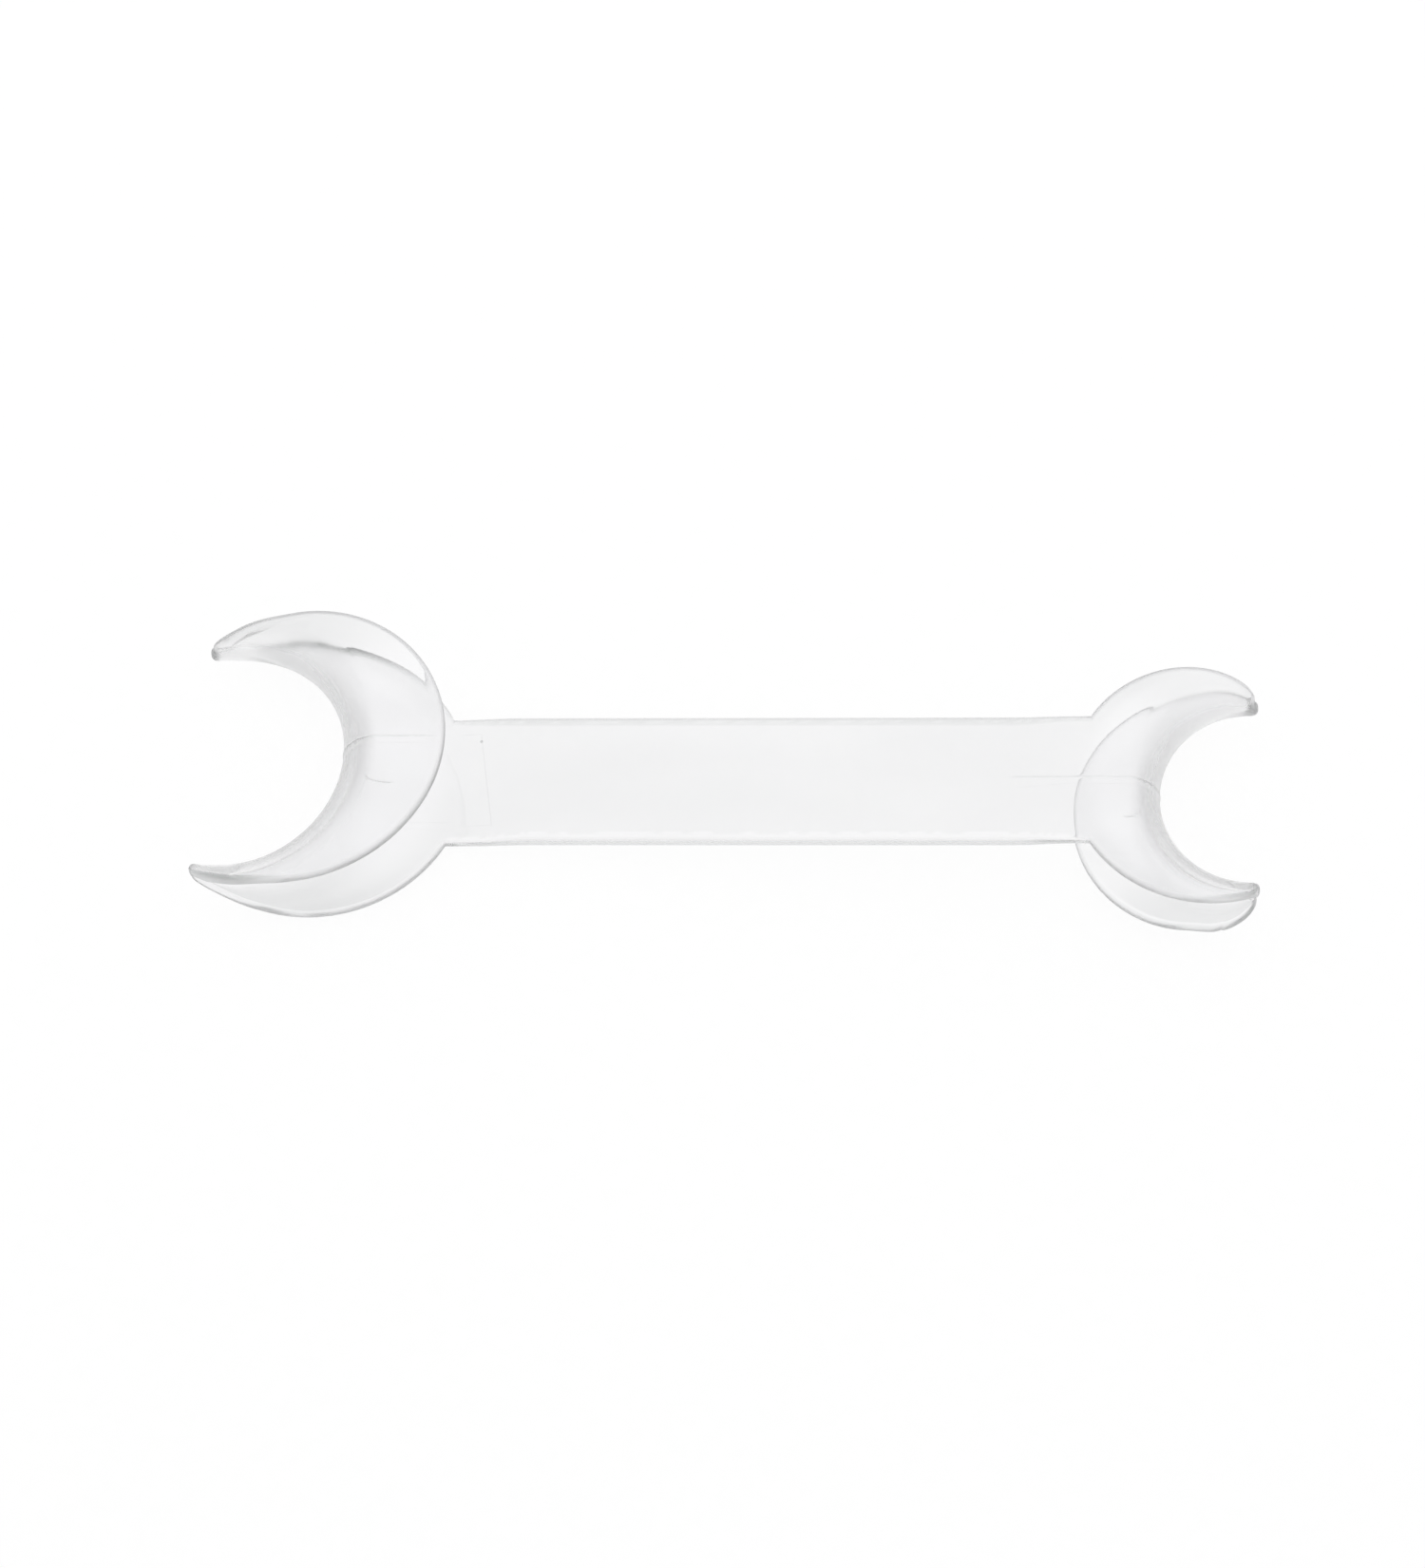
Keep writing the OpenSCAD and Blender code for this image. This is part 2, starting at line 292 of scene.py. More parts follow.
def section_sizes(head, flaws):
    """Sizes of the section at every station: the saddle's reach, both flanges, and how far it is filled."""
    u = stations(corner_station(head, np.array([RIM_ROUND])))
    reach = saddle_reach(head, u)
    free = flange(head, u, reach, half_free(head, u), depth_free(head, u) + flaws.free(u))
    root = flange(head, u, reach, half_root(head, u), depth_root(head, u) + flaws.root(u))
    return SimpleNamespace(
        u=u, reach=reach, free=free, root=root, fill=rise(np.abs(u), head.fill_from, FILL_TO))


def outer_parts(head, at, ridge_on_root):
    """Outside of the section, with the mould line's height on each part: the carrying flange straight in
    from its rim, the saddle as half an ellipse, and the free flange straight out to its rim."""
    u, reach, free, root = at.u, at.reach, at.free, at.root
    root_face = root.edge + (reach - root.edge) * face_share[:-1]
    free_face = reach + (free.edge - reach) * face_share[1:]
    half = np.where(bend > 0, free.half, root.half)
    root_line = head_ridge(head, u, root_face) * ridge_on_root
    line = head_ridge(head, u, 0.0)
    free_fade = (1 - ridge_on_root) * rise(1 - face_share[1:], 0.0, RIDGE_FADE)
    free_line = head_ridge(head, u, free_face) * free_fade
    parts = [
        place(head, u, root_face, -root.half - root_line),
        place(head, u, reach - (reach + line) * np.cos(bend), (half + line) * np.sin(bend)),
        place(head, u, free_face, free.half + free_line),
    ]
    return parts, [root_line, line, free_line]


def inner_parts(head, at):
    """Inside of the section: the free flange in from its rim, the saddle, and the carrying flange out to
    its rim. Each point is moved towards the rim by the share of the channel that is filled."""
    u, reach, free, root = at.u, at.reach, at.free, at.root
    wall = np.minimum(WALL, WALL_SHARE * free.depth)
    saddle = reach - (reach - wall) * np.cos(unbend)
    slot, edge = (np.where(unbend > 0, a, b) for a, b in ((free.slot, root.slot), (free.edge, root.edge)))
    free_face = free.edge + (reach - free.edge) * face_share[1:-1]
    root_face = reach + (root.edge - reach) * face_share[1:]
    return [
        place(head, u, free_face + (free.edge - free_face) * at.fill, free.slot),
        place(head, u, saddle + (edge - saddle) * at.fill, slot * np.sin(unbend)),
        place(head, u, root_face + (root.edge - root_face) * at.fill, -root.slot),
    ]


def head_section(head, flaws, ridge_on_root):
    """Parts of the closed section at every station, in their order round it, the mould line's heights
    and u. Each rim is two quarter rounds, and the points of the bar's rim take the station that their
    inset asks for."""
    at = section_sizes(head, flaws)
    outer, lines = outer_parts(head, at, ridge_on_root)
    free, root = at.free, at.root
    free_rim = place(
        head, at.u, free.depth - free.rounding * rim_in[1:],
        free.half - free.wall * rim_walls[1:] - free.rounding * rim_rounds[1:])
    v = stations(corner_station(head, RIM_ROUND * rim_in[1:-1]))
    root_rim = place(
        head, v, depth_root(head, v) + flaws.root(v) - root.rounding * rim_in[1:-1],
        -root.slot - root.wall * rim_walls[1:-1] - root.rounding * rim_rounds[1:-1])
    return [*outer, free_rim, *inner_parts(head, at), root_rim], lines, at.u


print("points on a face, a saddle and a rim:", FACE_STEPS, SADDLE_ANGLES, len(rim_in))

# %% [markdown]
# The plastic is not equally polished all over: rims, round backs and tips are duller than flat faces.
# The colour also carries painted shade: dark lines along the mould line and on a flawed rim, dark tips,
# and a much fainter grey on the faces of the flanges and next to the bar, where clear walls look darker.
# An image could paint this, but all of it follows the shape, so every point of the section gets two
# finish values for the material: how dull the skin is there and how much painted shade darkens it.

# %% Finish values of the section
SADDLE_DULL, BEND_LIMIT, RIM_DULL_FADE = 0.6, 1.57, 0.4
TIP_DULL, TIP_DULL_FROM, CAP_FROM = 1.0, 0.96, 0.985
# painted shade: how dark the mould line, the bar's upper face and the patches on the faces are drawn
LINE_SHADE = 0.16
BAR_SHADE, BAR_SHADE_FULL, BAR_SHADE_END, BAR_SHADE_BACK = 0.115, 0.4, 0.75, 0.4
SHADE_PATCH_FROM, SHADE_PATCH_FULL, SHADE_PATCH_BEND = 0.2, 0.6, 0.3
# the parts of a section, in their order round it
ROOT_OUT, SADDLE_OUT, FREE_OUT, FREE_RIM, FREE_IN, SADDLE_IN, ROOT_IN, ROOT_RIM = range(8)

rim_dull = rise(1 - rim_in, 0.0, RIM_DULL_FADE)
# the saddle next to each face, with its angle towards that face
next_saddle = {
    ROOT_OUT: (SADDLE_OUT, -bend), FREE_OUT: (SADDLE_OUT, bend),
    FREE_IN: (SADDLE_IN, unbend), ROOT_IN: (SADDLE_IN, -unbend),
}
# the way from the saddle to the bar along each face of the carrying flange
way_to_bar = {ROOT_OUT: 1 - face_share[:-1], ROOT_IN: face_share[1:]}


def section_dull(u):
    """How dull each point is: 0 on a face, the root of the cosine round a saddle, 1 on a rim and at a tip."""
    flat = np.zeros(FACE_STEPS)
    saddle = SADDLE_DULL * np.sqrt(np.cos(np.clip(bend, -BEND_LIMIT, BEND_LIMIT)))
    dull = np.concatenate([flat, saddle, flat, rim_dull[1:], flat[1:], saddle, flat, rim_dull[1:-1]])
    return np.maximum(dull, TIP_DULL * rise(np.abs(u), TIP_DULL_FROM, 1.0))


def section_shade(flaws, parts, lines, u):
    """How much painted shade darkens each point: the sum of the painted shade along the mould line and
    on the rims, the bar's faint painted grey, which runs on into its flange, and a painted patch of shade
    on a face, which dies out round the saddle. A tip has a least painted shade."""
    mark = [np.zeros(part.shape[:2]) for part in parts]
    for part, height in zip((ROOT_OUT, SADDLE_OUT, FREE_OUT), lines):
        mark[part] += LINE_SHADE / RIDGE_HEIGHT * height
    rims = (
        (FREE_OUT, FREE_RIM, FREE_IN, flaws.free_mark(u)),
        (ROOT_IN, ROOT_RIM, ROOT_OUT, flaws.root_mark(u)),
    )
    for before, rim, after, rim_shade in rims:
        mark[rim] += rim_shade
        mark[before][:, -1:] += rim_shade
        mark[after][:, :1] += rim_shade
    # the bar's faint grey is painted shade; it runs on into the face of its flange
    by_bar = rise(np.abs(u), BAR_SHADE_END, BAR_SHADE_FULL)
    mark[flaws.bar_face] += BAR_SHADE * by_bar * rise(way_to_bar[flaws.bar_face], BAR_SHADE_BACK, 1.0)
    # patches of painted shade on the faces of the flanges
    for face, arm, most in flaws.bloom:
        bloom = most * rise(arm * u, SHADE_PATCH_FROM, SHADE_PATCH_FULL)
        saddle, towards = next_saddle[face]
        mark[face] += bloom
        mark[saddle] += bloom * rise(towards / bend[-1], SHADE_PATCH_BEND, 1.0)
    return np.maximum(np.concatenate(mark, axis=1), flaws.cap * rise(np.abs(u), CAP_FROM, 1.0))


print("dullness across a rim:", np.round(rim_dull, 2))

# %% [markdown]
# The rims are not even on the real tool: the free flanges swell near the tips, the large head has a line
# of ragged flash with two lumps, and the small head has a nick. Points could be pulled by hand for this,
# but a smooth step or a bell curve along the arm is easier to move about. Each head gets its own flaws:
# what they add to the depth of its flanges, how much painted shade darkens its rims and tips, and which
# faces have a patch of painted shade on which arm.

# %% Flaws of the heads
SWELL_FROM, SWELL_FULL, LARGE_SWELL, SMALL_SWELL = 0.68, 0.88, 0.8, 1.2
WAVE = SimpleNamespace(height=0.06, rate=95, at=0.67, width=0.11)
LUMPS = (
    # each lump: its place, height and width, and the width of its painted shade
    SimpleNamespace(at=0.707, height=0.3, width=0.011, shade_width=0.014),
    SimpleNamespace(at=0.622, height=0.26, width=0.013, shade_width=0.016),
)
# painted shade along the flash: where it starts, is full, fades and ends, how dark it is, and more at the
# lumps
FLASH_SHADE = SimpleNamespace(start=0.24, full=0.64, fading=0.74, end=0.9, mark=0.7, lump_shade=0.3)
NICK = SimpleNamespace(at=-0.829, depth=0.25, width=0.008)
# how far along the arm the painted shade on a thick rim grows
RIM_SHADE_GROW = 0.2
LEFT, RIGHT = 1, -1


def bump(u, at, width):
    """Bell curve along the arm about a station."""
    return np.exp(-(((u - at) / width) ** 2))


def swell(u, most):
    """Extra depth near the tips: it grows over a fifth of the arm and rounds off at the tip itself."""
    return most * rise(np.abs(u), SWELL_FROM, SWELL_FULL) * np.sqrt(np.maximum(1 - u**TIP_POWER, 0.0))


def nicked(u):
    """The small head's free flange: its swelling less the nick."""
    return swell(u, SMALL_SWELL) - NICK.depth * bump(u, NICK.at, NICK.width)


def ragged(u):
    """Ragged flash on a rim: two lumps and a slight wave between them."""
    wave = WAVE.height * np.sin(WAVE.rate * u) * bump(u, WAVE.at, WAVE.width)
    return sum(lump.height * bump(u, lump.at, lump.width) for lump in LUMPS) + wave


def flash_shade(u):
    """Painted shade along the flash: it grows in along the left arm, is darkest at the two lumps and fades
    before the tip."""
    line = rise(u, FLASH_SHADE.start, FLASH_SHADE.full) * rise(u, FLASH_SHADE.end, FLASH_SHADE.fading)
    return FLASH_SHADE.mark * line + FLASH_SHADE.lump_shade * sum(bump(u, lump.at, lump.shade_width) for lump in LUMPS)


def lens(u, start, most):
    """Painted shade on a rim that grows towards the right tip, where the thick wall looks dark."""
    return most * rise(-u, start, start + RIM_SHADE_GROW)


# the rims' darkening and the cap are painted shade, and a patch of painted shade is a face, an arm and how
# dark it is there
large_flaws = SimpleNamespace(
    free=lambda u: swell(u, LARGE_SWELL), free_mark=lambda u: lens(u, start=0.6, most=0.5),
    root=ragged, root_mark=flash_shade, cap=0.2,
    bar_face=ROOT_IN, bloom=((ROOT_IN, RIGHT, 0.3), (FREE_OUT, LEFT, 0.25)))
small_flaws = SimpleNamespace(
    free=nicked, free_mark=np.zeros_like,
    root=np.zeros_like, root_mark=lambda u: lens(u, start=0.72, most=0.4), cap=0.0,
    bar_face=ROOT_OUT, bloom=((FREE_IN, RIGHT, 0.25), (ROOT_OUT, LEFT, 0.14)))
print("flash at its two lumps in mm:", [round(float(ragged(lump.at)), 2) for lump in LUMPS])

# %% [markdown]
# Each arm ends in a small rounded nub. A round cap could be glued on, but it can also be made by adding
# rows to the same grid: the last section shrinks towards its middle as a cosine while it moves past the
# tip as a sine, until it closes in one point. So the skin of an arm stays one grid.

# %% Heads as grids
NUB_ROWS = 9


def carry(points, dull, mark):
    """Points with two finish values behind each: how dull the surface is and how much painted shade lies on
    it.
    """
    values = [np.broadcast_to(v, points.shape[:-1])[..., None] for v in (dull, mark)]
    return np.concatenate([points, *values], axis=-1)


def nub(head, last, u):
    """Rows past a tip: the last section drawn in by the cosine of an angle and moved along the arm by
    its sine."""
    turn = np.radians(90 * np.arange(1, NUB_ROWS + 1) / NUB_ROWS)[:, None, None]
    middle = place(head, u, depth_free(head, u) / 2, 0.0)
    a = angle(head, u)
    out = np.array([np.cos(a) / head.throat_x, np.sin(a) / head.throat_y, 0.0])
    along = np.array([-out[1], out[0], 0.0]) / np.linalg.norm(out) * np.sign(u)
    rows = middle + (last[:, :3] - middle) * np.cos(turn) + along * TIP_ROUND * np.sin(turn)
    return carry(rows, last[:, 3], last[:, 4])


def head_grids(head, flaws, ridge_on_root):
    """The two arms as closed grids with nubs, and the middle as an open grid that leaves the bar's rim
    out."""
    parts, lines, u = head_section(head, flaws, ridge_on_root)
    section = carry(np.concatenate(parts, axis=1), section_dull(u), section_shade(flaws, parts, lines, u))
    right, left = section[: arm_count + 1], section[-arm_count - 1:]
    right = np.concatenate([nub(head, right[0], -1.0)[::-1], right])
    left = np.concatenate([left, nub(head, left[-1], 1.0)])
    bar_rim = parts[ROOT_RIM].shape[1]
    return [(right, True), (left, True), (section[rows_core, :-bar_rim], False)]


large_grids = head_grids(LARGE, large_flaws, ridge_on_root=0.0)
small_grids = head_grids(SMALL, small_flaws, ridge_on_root=1.0)
print("grid rows and points:", [g.shape[:2] for g, _ in large_grids + small_grids])

# %% [markdown]
# The bar lies between the rims of the two flanges that carry it. It could be a box with a bevel, but a
# box would not share its end points with the heads. Here each of its columns runs from one rim to the
# other, so that the rows follow the bow of a rim near it and are straight further on. They stand closer
# near the large head, where the mould's slide has left a print with a slightly slanting edge.

# %% Plan of the bar
RAMP, BOW, MORE_ROUND = 9.0, 1.6, 0.45
BAR_ROWS, CROWDING = 90, 0.55
# the slide's print; its darkness value is painted shade along the print's edges
SLIDE = SimpleNamespace(x=-40.4, lean=-0.16, half=7.7, sunk=0.05, edge=0.2, mark=0.1, start=2.0)
SLIDE_ROWS, SLIDE_NEAR = 41, 0.5
LEAN_IN, LEAN_HELD, LEAN_OUT = 2.5, 2.0, 10.0


def rim_reach(head):
    """Distance from the throat's centre to the rim of the flange that carries the bar."""
    return head.throat_x + float(depth_root(head, 0.0))


LARGE_X = -BAR.length / 2 - rim_reach(LARGE)
SMALL_X = BAR.length / 2 + rim_reach(SMALL)


def on_large(p):
    """Large head to the bar's frame: moved to its end of the bar."""
    return p + np.array([LARGE_X, 0.0, 0.0])


def on_small(p):
    """Small head to the bar's frame: the same form turned over, at the other end of the bar."""
    return np.array([SMALL_X, 0.0, BAR.thick]) + p * np.array([-1.0, 1.0, -1.0])


def end_line(head, put, inset, share):
    """Line across the end of the bar: the rim of its flange drawn in by the inset, from corner to corner."""
    u = share * corner_station(head, inset)
    return put(place(head, u, depth_root(head, u) - inset, -half_root(head, u)))


def end_x(head, put):
    """Where the bar ends on its centre line."""
    return float(end_line(head, put, np.array([RIM_ROUND]), np.zeros(1))[0, 0])


START_X, END_X = end_x(LARGE, on_large), end_x(SMALL, on_small)


def bar_rows():
    """Rows along the bar: even places less a sine, so that they stand closer at both ends, and more
    about the edge of the slide's print."""
    t = np.linspace(0, 1, BAR_ROWS)
    t = t - CROWDING * np.sin(2 * np.pi * t) / (2 * np.pi)
    near = SLIDE.x + np.linspace(-SLIDE_NEAR, SLIDE_NEAR, SLIDE_ROWS)
    return in_order(START_X + (END_X - START_X) * t, near)[:, None]


def bar_plan(inset, share):
    """Columns along the bar: each runs from the large head's rim to the small head's, with the bow of
    the two rims dying out along it, and a slight lean of the rows about the slide's print. Returns the
    plan, the distances from both ends and the size of the round."""
    near, far = end_line(LARGE, on_large, inset, share), end_line(SMALL, on_small, inset, share)
    rows = bar_rows()
    from_large, from_small = rows - START_X, END_X - rows
    bow_near = (near[:, 0] - START_X) * np.exp(-from_large / BOW)
    bow_far = (far[:, 0] - END_X) * np.exp(-from_small / BOW)
    more = MORE_ROUND * rise(from_large, 0.0, RAMP) * rise(from_small, 0.0, RAMP)
    y = near[:, 1] + (far[:, 1] - near[:, 1]) * from_large / (END_X - START_X)
    y = y * (1 - more * inset / RIM_ROUND / (BAR.width / 2 - inset))
    lean = rise(from_large, 0.0, LEAN_IN) * (1 - rise(rows - SLIDE.x, LEAN_HELD, LEAN_OUT))
    return rows + bow_near + bow_far + SLIDE.lean * lean * y, y, from_large, from_small, RIM_ROUND + more


print("bar from", round(START_X, 2), "to", round(END_X, 2), "mm in", len(bar_rows()), "rows")

# %% [markdown]
# The bar is thicker than its flanges and thins to them at its ends. Its sides start with the round of
# the rims and grow rounder along the bar. The slide's print is very shallow, and the mould line runs a
# little way on from the small head. An image could show both, but then they would not bend the light, so
# they are part of the level of the upper face, and a faint painted shade goes with them.

# %% Faces of the bar
LINE_END, LINE_FADE = 9.6, 1.5
# the darkness of the bar's far side is painted shade
SIDE_DULL, FAR_SIDE_SHADE = 0.4, 0.15
EDGE_PEAK = 0.25


def slide_print(x, y):
    """How far a point lies inside the slide's print: a smooth step across the bar and one along it."""
    across = rise(SLIDE.half - np.abs(y), 0.0, SLIDE.edge)
    along = rise(SLIDE.x + SLIDE.lean * y - x, 0.0, SLIDE.edge)
    return across, along


def bar_ridge(y, from_small):
    """Height of the mould line on the bar: the same bell curve, fading out where the line ends."""
    return ridge(y) * rise(LINE_END - from_small, 0.0, LINE_FADE)


def bar_levels(x, y, from_large, from_small):
    """Upper and under level: full thickness, thinned at each end to the flange there, less the slide's
    print, plus the mould line."""
    upper = WALL + (BAR.thick - WALL) * rise(from_large, 0.0, RAMP)
    under = (BAR.thick - WALL) * (1 - rise(from_small, 0.0, RAMP))
    across, along = slide_print(x, y)
    sunk = SLIDE.sunk * along * rise(from_large, 0.0, SLIDE.start) * across
    return upper - sunk + bar_ridge(y, from_small), under


def upper_shade(x, y, from_large, from_small):
    """Faint painted shade on the upper face: an even grey all over, more along the mould line and along
    the edges of the slide's print, where a step times its rest is at its peak of a quarter."""
    line = bar_ridge(y, from_small) / RIDGE_HEIGHT
    across, along = slide_print(x, y)
    sides = across * (1 - across) * along * rise(from_large, 0.0, SLIDE.start)
    edges = along * (1 - along) * across + sides
    return BAR_SHADE + LINE_SHADE * line + SLIDE.mark / EDGE_PEAK * edges


def bar_grids():
    """Upper and under faces, and the two rounded sides."""
    x, y, *ends, _ = bar_plan(np.full_like(core_share, RIM_ROUND), core_share)
    upper, under = bar_levels(x, y, *ends)
    faces = [
        carry(points_at(x, y, upper), 0.0, upper_shade(x, y, *ends)),
        carry(points_at(x, y, under), 0.0, 0.0),
    ]
    for side in (-1.0, 1.0):
        x, y, *ends, rounding = bar_plan(RIM_ROUND * rim_in, np.full_like(rim_in, side))
        upper, under = bar_levels(x, y, *ends)
        z = upper - (upper - under) * rim_walls - rounding * rim_rounds
        # painted shade on the round of the bar's far side
        mark = FAR_SIDE_SHADE * (side > 0) * rim_dull
        faces.append(carry(points_at(x, y, z), SIDE_DULL * rim_dull, mark))
    return [(face, False) for face in faces]


def moved(put, grids):
    """Grids of a head in the bar's frame, with their finish values kept."""
    return [(np.concatenate([put(g[..., :3]), g[..., 3:]], axis=-1), closed) for g, closed in grids]


grids = moved(on_large, large_grids) + moved(on_small, small_grids) + bar_grids()
print("grids:", len(grids), "points:", sum(g.shape[0] * g.shape[1] for g, _ in grids))

# %% [markdown]
# The moulding lies on the table on the lower flange of each head, so its bar slopes up to the small head
# by about five and a half degrees. The grids are turned to that slope and put into one mesh in metres,
# and the points that two grids share are merged. A closed skin has exactly two faces at every edge. The
# cell counts the others, because one open edge would make the plastic look like a bubble instead of a
# solid.

# %% Closed skin of the moulding
TILT, MIDDLE_X, LOW_Z = 5.5326, -5.6138, -5.66
MERGE = 3e-6
SHARP_ANGLE = 38.0


def on_table(p):
    """The bar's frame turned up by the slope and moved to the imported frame, in metres."""
    c, s = math.cos(math.radians(TILT)), math.sin(math.radians(TILT))
    x, y, z = np.moveaxis(p, -1, 0)
    return np.stack([x * c - z * s - MIDDLE_X, y, x * s + z * c - LOW_Z], axis=-1) * MM


def grid_faces(rows, columns, closed):
    """Four-sided faces between neighbouring rows and columns. If closed, the last column joins the first."""
    i = np.arange(rows - 1)[:, None] * columns
    j = np.arange(columns if closed else columns - 1)[None, :]
    k = (j + 1) % columns
    return np.stack([i + j, i + k, i + k + columns, i + j + columns], axis=-1).reshape(-1, 4)


def mesh_of_grids(name, grids):
    """One mesh of all grids, with the finish values as two attributes of its points."""
    points = [on_table(g[..., :3]).reshape(-1, 3) for g, _ in grids]
    finish = np.concatenate([g[..., 3:].reshape(-1, 2) for g, _ in grids])
    starts = np.cumsum([0] + [len(p) for p in points[:-1]])
    faces = [grid_faces(*g.shape[:2], closed) + start for (g, closed), start in zip(grids, starts)]
    points, faces = np.concatenate(points), np.concatenate(faces)
    mesh = bpy.data.meshes.new(name)
    mesh.vertices.add(len(points))
    mesh.vertices.foreach_set("co", points.ravel())
    mesh.loops.add(faces.size)
    mesh.loops.foreach_set("vertex_index", faces.ravel())
    mesh.polygons.add(len(faces))
    mesh.polygons.foreach_set("loop_start", np.arange(0, faces.size, 4))
    mesh.update(calc_edges=True)
    for attribute, values in zip(("dull", "mark"), finish.T.copy()):
        mesh.attributes.new(attribute, "FLOAT", "POINT").data.foreach_set("value", values)
    return mesh


def closed_skin(name, grids):
    """The mesh with shared points merged, thin faces dissolved and faces pointing outwards."""
    mesh = mesh_of_grids(name, grids)
    work = bmesh.new()
    work.from_mesh(mesh)
    bmesh.ops.remove_doubles(work, verts=work.verts, dist=MERGE)
    bmesh.ops.dissolve_degenerate(work, edges=work.edges, dist=MERGE)
    bmesh.ops.recalc_face_normals(work, faces=work.faces)
    open_edges = sum(len(e.link_faces) != 2 for e in work.edges)
    volume = round(work.calc_volume() / MM**3, 1)
    print(name, "faces:", len(work.faces), "open edges:", open_edges, "volume in mm3:", volume)
    work.to_mesh(mesh)
    work.free()
    mesh.shade_smooth()
    mesh.set_sharp_from_angle(angle=math.radians(SHARP_ANGLE))
    return mesh


moulding = bpy.data.objects.new("clear_moulding", closed_skin("clear_moulding", grids))
bpy.context.collection.objects.link(moulding)
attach(moulding, "root")
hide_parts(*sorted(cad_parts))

# %% [markdown]
# The plastic is polished, but a perfect glass would look like a drawing. Faint flow marks from the
# moulding wave the surface, and handling has left patches that are a little less polished. Both could
# come from an image, but noise has no seams and no end. The finish values that came with the points make
# rims and round backs duller and paint shade into the colour along the mould line, on the rims, at the
# tips and on the bar, where clear plastic looks dark, and a small dark speck lies in the bar's upper face.

# %% Surface of the plastic
FLOW = SimpleNamespace(stretch=(0.35, 1.0, 1.0), scale=90.0, detail=1.0)
GRAIN = SimpleNamespace(scale=900.0, detail=3.0, share=0.015)
PATCHES = SimpleNamespace(scale=55.0, detail=4.0, roughness=0.6, start=0.45, full=0.75)
BUMP_STRENGTH, BUMP_HEIGHT = 0.25, 0.0005
CLEAR_DARK, CLEAR_LIGHT = (0.94, 0.939, 0.945, 1.0), (0.965, 0.964, 0.97, 1.0)
DARK_AT, LIGHT_AT = 0.35, 0.65
POLISHED, HANDLED, RIM_DULL = 0.03, 0.06, 0.42
# the dark tint that the painted shade of the points mixes in; the real speck takes it too
SHADE_AND_SPECK_TINT = (0.12, 0.14, 0.13, 1.0)
SPECK = SimpleNamespace(at=(-41.6, 6.4, 1.65), radius=0.26, mark=0.5)


def add(tree, kind, **values):
    """New shader node, with its plain properties and its input sockets set by name."""
    node = tree.nodes.new(kind)
    for name, value in values.items():
        if name in node.inputs:
            node.inputs[name].default_value = value
        else:
            setattr(node, name, value)
    return node


def noise(tree, vector, **values):
    """Noise texture read at a vector."""
    node = add(tree, "ShaderNodeTexNoise", **values)
    tree.links.new(vector, node.inputs["Vector"])
    return node.outputs["Fac"]


def calc(tree, operation, *values):
    """Math node: each of its inputs is set to a number or linked to a socket, in order."""
    node = add(tree, "ShaderNodeMath", operation=operation)
    for socket, value in zip(node.inputs, values):
        if isinstance(value, float):
            socket.default_value = value
        else:
            tree.links.new(value, socket)
    return node.outputs["Value"]


def point_value(tree, name):
    """Finish value that came with the points."""
    return add(tree, "ShaderNodeAttribute", attribute_name=name).outputs["Fac"]


def surface(tree):
    """Colour, roughness and normal of the plastic. Noise tints, dulls and waves it, the points' values
    add dull rims and painted shade, and the speck is what lies within a radius of its place."""
    link = tree.links.new
    where = add(tree, "ShaderNodeTexCoord").outputs["Object"]
    along = add(tree, "ShaderNodeMapping", Scale=FLOW.stretch)
    link(where, along.inputs["Vector"])
    flow = noise(tree, along.outputs["Vector"], Scale=FLOW.scale, Detail=FLOW.detail)
    grain = noise(tree, where, Scale=GRAIN.scale, Detail=GRAIN.detail)
    patches = noise(tree, where, Scale=PATCHES.scale, Detail=PATCHES.detail, Roughness=PATCHES.roughness)
    wave = add(tree, "ShaderNodeBump", Strength=BUMP_STRENGTH, Distance=BUMP_HEIGHT)
    link(calc(tree, "MULTIPLY_ADD", grain, GRAIN.share, flow), wave.inputs["Height"])
    handled = add(tree, "ShaderNodeMapRange", **{
        "From Min": PATCHES.start, "From Max": PATCHES.full, "To Min": POLISHED, "To Max": HANDLED})
    link(patches, handled.inputs["Value"])
    rough = calc(tree, "MULTIPLY_ADD", point_value(tree, "dull"), RIM_DULL, handled.outputs["Result"])
    tint = add(tree, "ShaderNodeValToRGB")
    for stop, at, clear in zip(tint.color_ramp.elements, (DARK_AT, LIGHT_AT), (CLEAR_DARK, CLEAR_LIGHT)):
        stop.position, stop.color = at, clear
    link(flow, tint.inputs["Fac"])
    speck = add(tree, "ShaderNodeVectorMath", operation="DISTANCE")
    speck.inputs[1].default_value = on_table(np.array(SPECK.at))
    link(where, speck.inputs[0])
    dot = calc(tree, "LESS_THAN", speck.outputs["Value"], SPECK.radius * MM)
    # painted shade from the points' values and the real speck both darken the colour towards that tint
    colour = add(tree, "ShaderNodeMixRGB", Color2=SHADE_AND_SPECK_TINT)
    link(calc(tree, "MULTIPLY_ADD", dot, SPECK.mark, point_value(tree, "mark")), colour.inputs["Fac"])
    link(tint.outputs["Color"], colour.inputs["Color1"])
    return colour.outputs["Color"], rough, wave.outputs["Normal"]


print("speck at", np.round(on_table(np.array(SPECK.at)) / MM, 1), "mm in the frame")

# %% [markdown]
# The plastic is clear and colourless. Its light comes through it from the table, so what is seen is
# refraction: flat walls stay nearly white, and rims and tips turn grey. A thin sheet with some
# transparency could be faked, but only a solid that bends the light shows its inner walls. A clear part
# throws hardly any shadow, yet refraction would keep the lamp from the paper below, so the rays that
# light the paper pass straight through.

